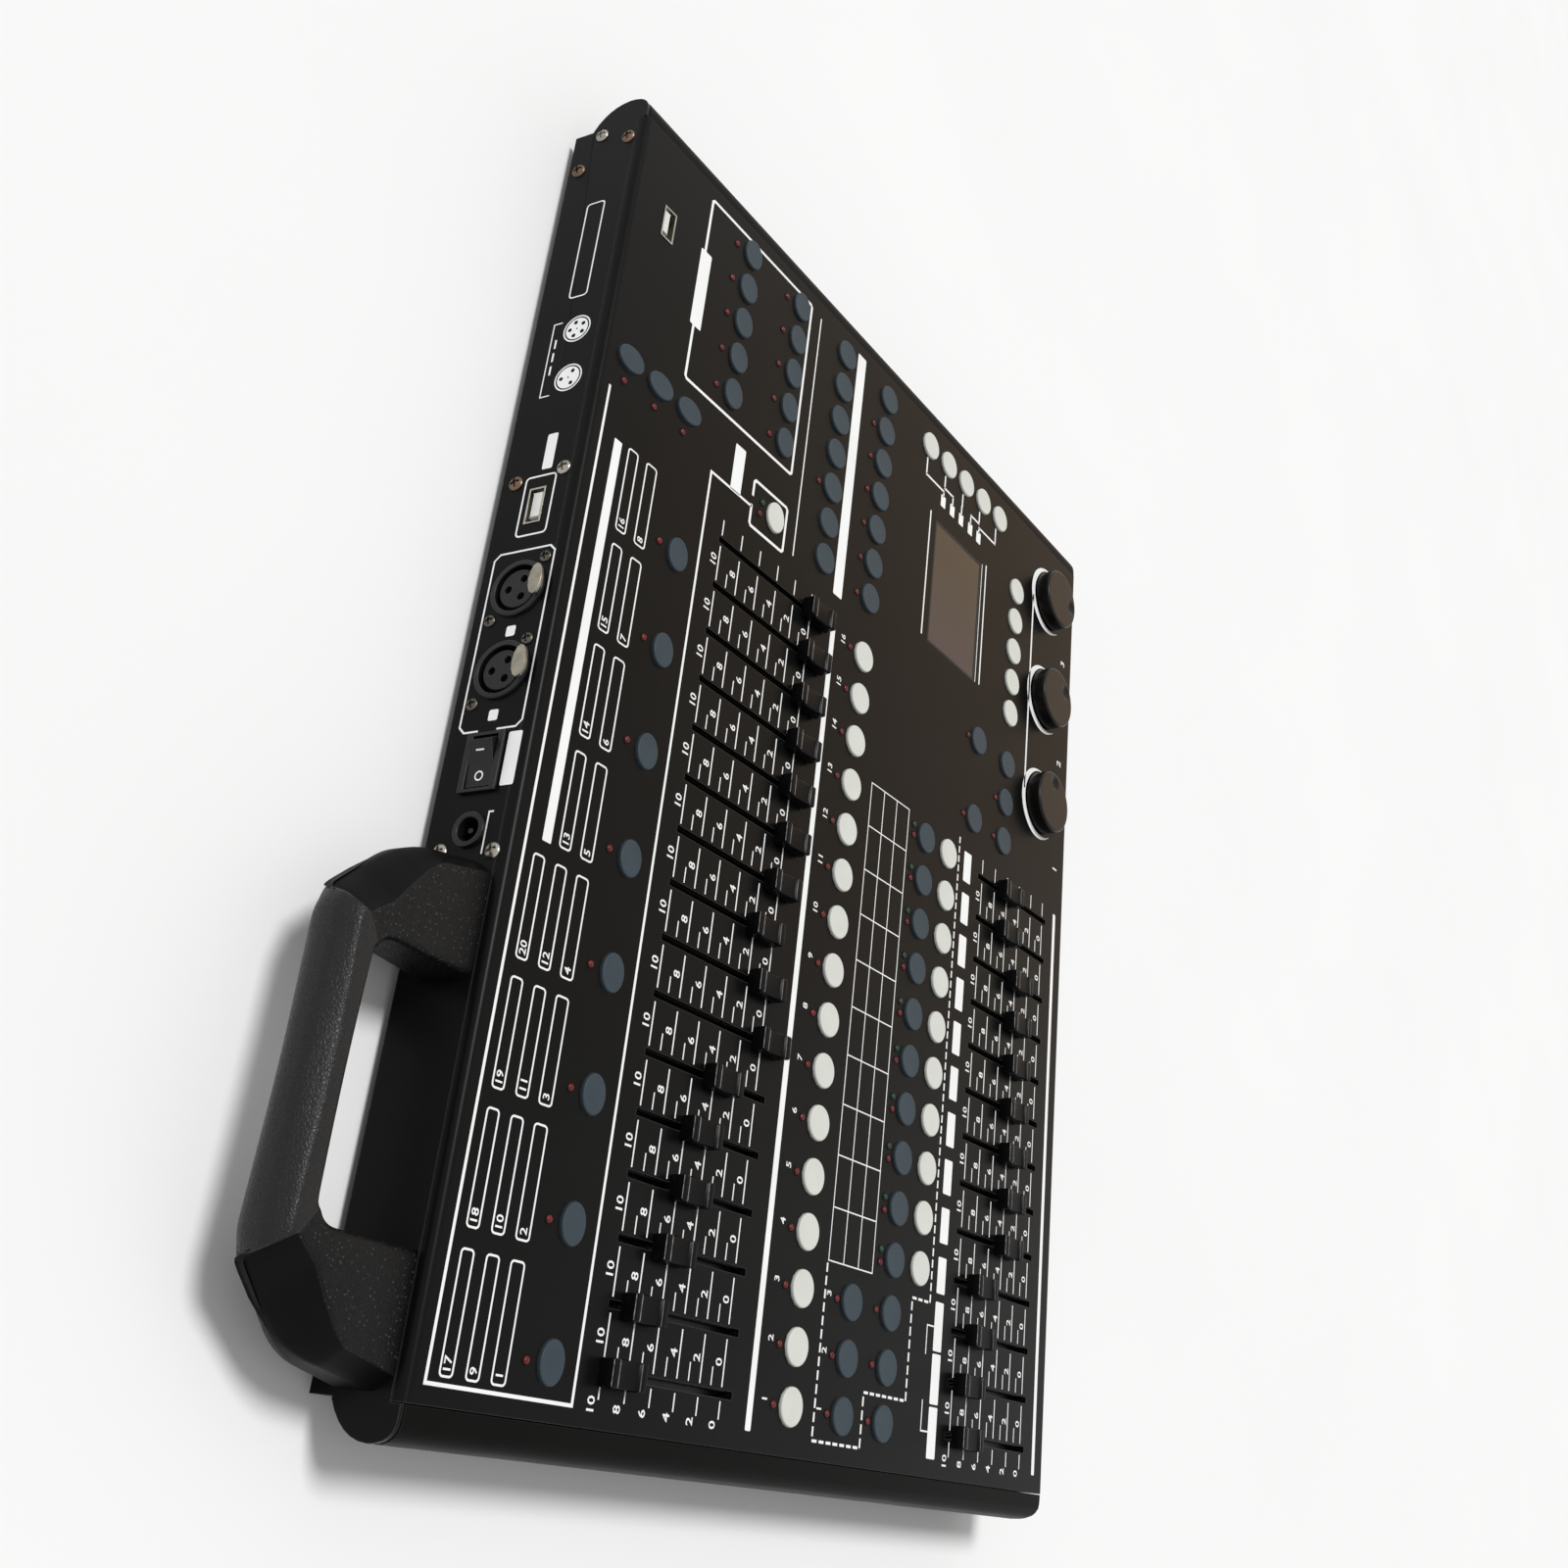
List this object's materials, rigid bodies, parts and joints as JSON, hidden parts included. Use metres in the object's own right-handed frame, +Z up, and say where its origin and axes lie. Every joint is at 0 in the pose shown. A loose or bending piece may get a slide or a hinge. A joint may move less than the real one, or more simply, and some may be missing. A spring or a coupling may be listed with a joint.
{
  "type": "dmx lighting controller",
  "caption": "Slim desk console for stage lights: banks of slide faders, rubber keys, a small display, jog wheels, rear sockets and a carry handle.",
  "frame": {"origin": "under the middle of the whole object's footprint, at the height its feet stand on", "axes": "+X to the operator's right, +Y from the operator to the rear panel, +Z up out of the deck"},
  "size_m": [0.487, 0.425, 0.045],
  "materials": {
    "deck_steel": "fine black powder coat",
    "rail_plastic": "satin moulded",
    "grain_plastic": "leather grain",
    "socket_plastic": "moulded",
    "fader_plastic": "satin moulded",
    "wheel_plastic": "polished top",
    "slate_rubber": "matt silicone",
    "white_rubber": "matt silicone",
    "circuit_board": "solder mask",
    "display_glass": "dark polished",
    "nickel": "plated, slightly yellow"
  },
  "bodies": {
    "console": {"top_panel": "deck_steel", "bottom_tray": "deck_steel", "rear_panel": "deck_steel", "side_rail_left": "rail_plastic", "side_rail_right": "rail_plastic", "carry_handle": "grain_plastic", "main_board": "circuit_board", "lcd_module": "display_glass", "xlr_socket_a": "socket_plastic", "xlr_socket_b": "socket_plastic", "usb_data_socket": "nickel", "usb_lamp_socket": "nickel", "dc_jack": "socket_plastic", "power_switch_body": "socket_plastic"},
    "fixture_fader_01": {"fixture_fader_01": "fader_plastic"},
    "fixture_fader_02": {"fixture_fader_02": "fader_plastic"},
    "fixture_fader_03": {"fixture_fader_03": "fader_plastic"},
    "fixture_fader_04": {"fixture_fader_04": "fader_plastic"},
    "fixture_fader_05": {"fixture_fader_05": "fader_plastic"},
    "fixture_fader_06": {"fixture_fader_06": "fader_plastic"},
    "fixture_fader_07": {"fixture_fader_07": "fader_plastic"},
    "fixture_fader_08": {"fixture_fader_08": "fader_plastic"},
    "fixture_fader_09": {"fixture_fader_09": "fader_plastic"},
    "fixture_fader_10": {"fixture_fader_10": "fader_plastic"},
    "fixture_fader_11": {"fixture_fader_11": "fader_plastic"},
    "fixture_fader_12": {"fixture_fader_12": "fader_plastic"},
    "fixture_fader_13": {"fixture_fader_13": "fader_plastic"},
    "fixture_fader_14": {"fixture_fader_14": "fader_plastic"},
    "fixture_fader_15": {"fixture_fader_15": "fader_plastic"},
    "fixture_fader_16": {"fixture_fader_16": "fader_plastic"},
    "playback_fader_01": {"playback_fader_01": "fader_plastic"},
    "playback_fader_02": {"playback_fader_02": "fader_plastic"},
    "playback_fader_03": {"playback_fader_03": "fader_plastic"},
    "playback_fader_04": {"playback_fader_04": "fader_plastic"},
    "playback_fader_05": {"playback_fader_05": "fader_plastic"},
    "playback_fader_06": {"playback_fader_06": "fader_plastic"},
    "playback_fader_07": {"playback_fader_07": "fader_plastic"},
    "playback_fader_08": {"playback_fader_08": "fader_plastic"},
    "playback_fader_09": {"playback_fader_09": "fader_plastic"},
    "playback_fader_10": {"playback_fader_10": "fader_plastic"},
    "master_fader_1": {"master_fader_1": "fader_plastic"},
    "master_fader_2": {"master_fader_2": "fader_plastic"},
    "master_fader_3": {"master_fader_3": "fader_plastic"},
    "attribute_keys": {"attribute_keys": "slate_rubber"},
    "bank_keys": {"bank_keys": "slate_rubber"},
    "level_key": {"level_key": "white_rubber"},
    "fixture_keys": {"fixture_keys": "white_rubber"},
    "function_keys": {"function_keys": "slate_rubber"},
    "lighting_keys": {"lighting_keys": "slate_rubber"},
    "page_keys": {"page_keys": "slate_rubber"},
    "display_keys": {"display_keys": "white_rubber"},
    "transport_keys": {"transport_keys": "slate_rubber"},
    "playback_dark_keys": {"playback_dark_keys": "slate_rubber"},
    "playback_white_keys": {"playback_white_keys": "white_rubber"},
    "jog_wheel_1": {"jog_wheel_1": "wheel_plastic"},
    "jog_wheel_2": {"jog_wheel_2": "wheel_plastic"},
    "jog_wheel_3": {"jog_wheel_3": "wheel_plastic"},
    "power_rocker": {"power_rocker": "socket_plastic"},
    "latch_tab_a": {"latch_tab_a": "nickel"},
    "latch_tab_b": {"latch_tab_b": "nickel"}
  },
  "joints": [
    {"name": "fixture_fader_01_slide", "type": "slide", "parent": "console", "child": "fixture_fader_01", "axis": [0, 1, 0], "range_m": [-0.0558, 0.0042]},
    {"name": "fixture_fader_02_slide", "type": "slide", "parent": "console", "child": "fixture_fader_02", "axis": [0, 1, 0], "range_m": [-0.0498, 0.0102]},
    {"name": "fixture_fader_03_slide", "type": "slide", "parent": "console", "child": "fixture_fader_03", "axis": [0, 1, 0], "range_m": [-0.039, 0.021]},
    {"name": "fixture_fader_04_slide", "type": "slide", "parent": "console", "child": "fixture_fader_04", "axis": [0, 1, 0], "range_m": [-0.0342, 0.0258]},
    {"name": "fixture_fader_05_slide", "type": "slide", "parent": "console", "child": "fixture_fader_05", "axis": [0, 1, 0], "range_m": [-0.0327, 0.0273]},
    {"name": "fixture_fader_06_slide", "type": "slide", "parent": "console", "child": "fixture_fader_06", "axis": [0, 1, 0], "range_m": [-0.0246, 0.0354]},
    {"name": "fixture_fader_07_slide", "type": "slide", "parent": "console", "child": "fixture_fader_07", "axis": [0, 1, 0], "range_m": [0, 0.06]},
    {"name": "fixture_fader_08_slide", "type": "slide", "parent": "console", "child": "fixture_fader_08", "axis": [0, 1, 0], "range_m": [-0.006, 0.054]},
    {"name": "fixture_fader_09_slide", "type": "slide", "parent": "console", "child": "fixture_fader_09", "axis": [0, 1, 0], "range_m": [-0.0108, 0.0492]},
    {"name": "fixture_fader_10_slide", "type": "slide", "parent": "console", "child": "fixture_fader_10", "axis": [0, 1, 0], "range_m": [-0.0036, 0.0564]},
    {"name": "fixture_fader_11_slide", "type": "slide", "parent": "console", "child": "fixture_fader_11", "axis": [0, 1, 0], "range_m": [-0.0009, 0.0591]},
    {"name": "fixture_fader_12_slide", "type": "slide", "parent": "console", "child": "fixture_fader_12", "axis": [0, 1, 0], "range_m": [-0.0015, 0.0585]},
    {"name": "fixture_fader_13_slide", "type": "slide", "parent": "console", "child": "fixture_fader_13", "axis": [0, 1, 0], "range_m": [-0.0006, 0.0594]},
    {"name": "fixture_fader_14_slide", "type": "slide", "parent": "console", "child": "fixture_fader_14", "axis": [0, 1, 0], "range_m": [-0.0006, 0.0594]},
    {"name": "fixture_fader_15_slide", "type": "slide", "parent": "console", "child": "fixture_fader_15", "axis": [0, 1, 0], "range_m": [0, 0.06]},
    {"name": "fixture_fader_16_slide", "type": "slide", "parent": "console", "child": "fixture_fader_16", "axis": [0, 1, 0], "range_m": [0, 0.06]},
    {"name": "playback_fader_01_slide", "type": "slide", "parent": "console", "child": "playback_fader_01", "axis": [0, 1, 0], "range_m": [-0.0444, 0.0156]},
    {"name": "playback_fader_02_slide", "type": "slide", "parent": "console", "child": "playback_fader_02", "axis": [0, 1, 0], "range_m": [-0.0234, 0.0366]},
    {"name": "playback_fader_03_slide", "type": "slide", "parent": "console", "child": "playback_fader_03", "axis": [0, 1, 0], "range_m": [-0.0228, 0.0372]},
    {"name": "playback_fader_04_slide", "type": "slide", "parent": "console", "child": "playback_fader_04", "axis": [0, 1, 0], "range_m": [-0.0234, 0.0366]},
    {"name": "playback_fader_05_slide", "type": "slide", "parent": "console", "child": "playback_fader_05", "axis": [0, 1, 0], "range_m": [-0.024, 0.036]},
    {"name": "playback_fader_06_slide", "type": "slide", "parent": "console", "child": "playback_fader_06", "axis": [0, 1, 0], "range_m": [-0.024, 0.036]},
    {"name": "playback_fader_07_slide", "type": "slide", "parent": "console", "child": "playback_fader_07", "axis": [0, 1, 0], "range_m": [-0.0249, 0.0351]},
    {"name": "playback_fader_08_slide", "type": "slide", "parent": "console", "child": "playback_fader_08", "axis": [0, 1, 0], "range_m": [-0.0249, 0.0351]},
    {"name": "playback_fader_09_slide", "type": "slide", "parent": "console", "child": "playback_fader_09", "axis": [0, 1, 0], "range_m": [-0.0384, 0.0216]},
    {"name": "playback_fader_10_slide", "type": "slide", "parent": "console", "child": "playback_fader_10", "axis": [0, 1, 0], "range_m": [-0.0378, 0.0222]},
    {"name": "master_fader_1_slide", "type": "slide", "parent": "console", "child": "master_fader_1", "axis": [0, 1, 0], "range_m": [-0.0504, 0.0096]},
    {"name": "master_fader_2_slide", "type": "slide", "parent": "console", "child": "master_fader_2", "axis": [0, 1, 0], "range_m": [-0.051, 0.009]},
    {"name": "master_fader_3_slide", "type": "slide", "parent": "console", "child": "master_fader_3", "axis": [0, 1, 0], "range_m": [-0.0438, 0.0162]},
    {"name": "attribute_keys_press", "type": "slide", "parent": "console", "child": "attribute_keys", "axis": [0, 0, 1], "range_m": [-0.001, 0], "stiffness_N_per_m": 1500, "springref_m": 0.0004},
    {"name": "bank_keys_press", "type": "slide", "parent": "console", "child": "bank_keys", "axis": [0, 0, 1], "range_m": [-0.001, 0], "stiffness_N_per_m": 1500, "springref_m": 0.0004},
    {"name": "level_key_press", "type": "slide", "parent": "console", "child": "level_key", "axis": [0, 0, 1], "range_m": [-0.001, 0], "stiffness_N_per_m": 1500, "springref_m": 0.0004},
    {"name": "fixture_keys_press", "type": "slide", "parent": "console", "child": "fixture_keys", "axis": [0, 0, 1], "range_m": [-0.001, 0], "stiffness_N_per_m": 1500, "springref_m": 0.0004},
    {"name": "function_keys_press", "type": "slide", "parent": "console", "child": "function_keys", "axis": [0, 0, 1], "range_m": [-0.001, 0], "stiffness_N_per_m": 1500, "springref_m": 0.0004},
    {"name": "lighting_keys_press", "type": "slide", "parent": "console", "child": "lighting_keys", "axis": [0, 0, 1], "range_m": [-0.001, 0], "stiffness_N_per_m": 1500, "springref_m": 0.0004},
    {"name": "page_keys_press", "type": "slide", "parent": "console", "child": "page_keys", "axis": [0, 0, 1], "range_m": [-0.001, 0], "stiffness_N_per_m": 1500, "springref_m": 0.0004},
    {"name": "display_keys_press", "type": "slide", "parent": "console", "child": "display_keys", "axis": [0, 0, 1], "range_m": [-0.001, 0], "stiffness_N_per_m": 1500, "springref_m": 0.0004},
    {"name": "transport_keys_press", "type": "slide", "parent": "console", "child": "transport_keys", "axis": [0, 0, 1], "range_m": [-0.001, 0], "stiffness_N_per_m": 1500, "springref_m": 0.0004},
    {"name": "playback_dark_keys_press", "type": "slide", "parent": "console", "child": "playback_dark_keys", "axis": [0, 0, 1], "range_m": [-0.001, 0], "stiffness_N_per_m": 1500, "springref_m": 0.0004},
    {"name": "playback_white_keys_press", "type": "slide", "parent": "console", "child": "playback_white_keys", "axis": [0, 0, 1], "range_m": [-0.001, 0], "stiffness_N_per_m": 1500, "springref_m": 0.0004},
    {"name": "jog_wheel_1_spin", "type": "hinge", "parent": "console", "child": "jog_wheel_1", "pos_m": [0.0835, -0.1836, 0.037], "axis": [0, 0, 1], "continuous": true},
    {"name": "jog_wheel_2_spin", "type": "hinge", "parent": "console", "child": "jog_wheel_2", "pos_m": [0.1422, -0.1836, 0.037], "axis": [0, 0, 1], "continuous": true},
    {"name": "jog_wheel_3_spin", "type": "hinge", "parent": "console", "child": "jog_wheel_3", "pos_m": [0.2009, -0.1836, 0.037], "axis": [0, 0, 1], "continuous": true},
    {"name": "power_rocker_tilt", "type": "hinge", "parent": "console", "child": "power_rocker", "pos_m": [-0.0421, 0.15788, 0.02031], "axis": [0, -0.1426, 0.9898], "range_deg": [-24, 0]},
    {"name": "latch_tab_a_press", "type": "slide", "parent": "console", "child": "latch_tab_a", "axis": [0, 0.9898, 0.1426], "range_m": [-0.001, 0], "stiffness_N_per_m": 1500, "springref_m": 0.0004},
    {"name": "latch_tab_b_press", "type": "slide", "parent": "console", "child": "latch_tab_b", "axis": [0, 0.9898, 0.1426], "range_m": [-0.001, 0], "stiffness_N_per_m": 1500, "springref_m": 0.0004}
  ]
}
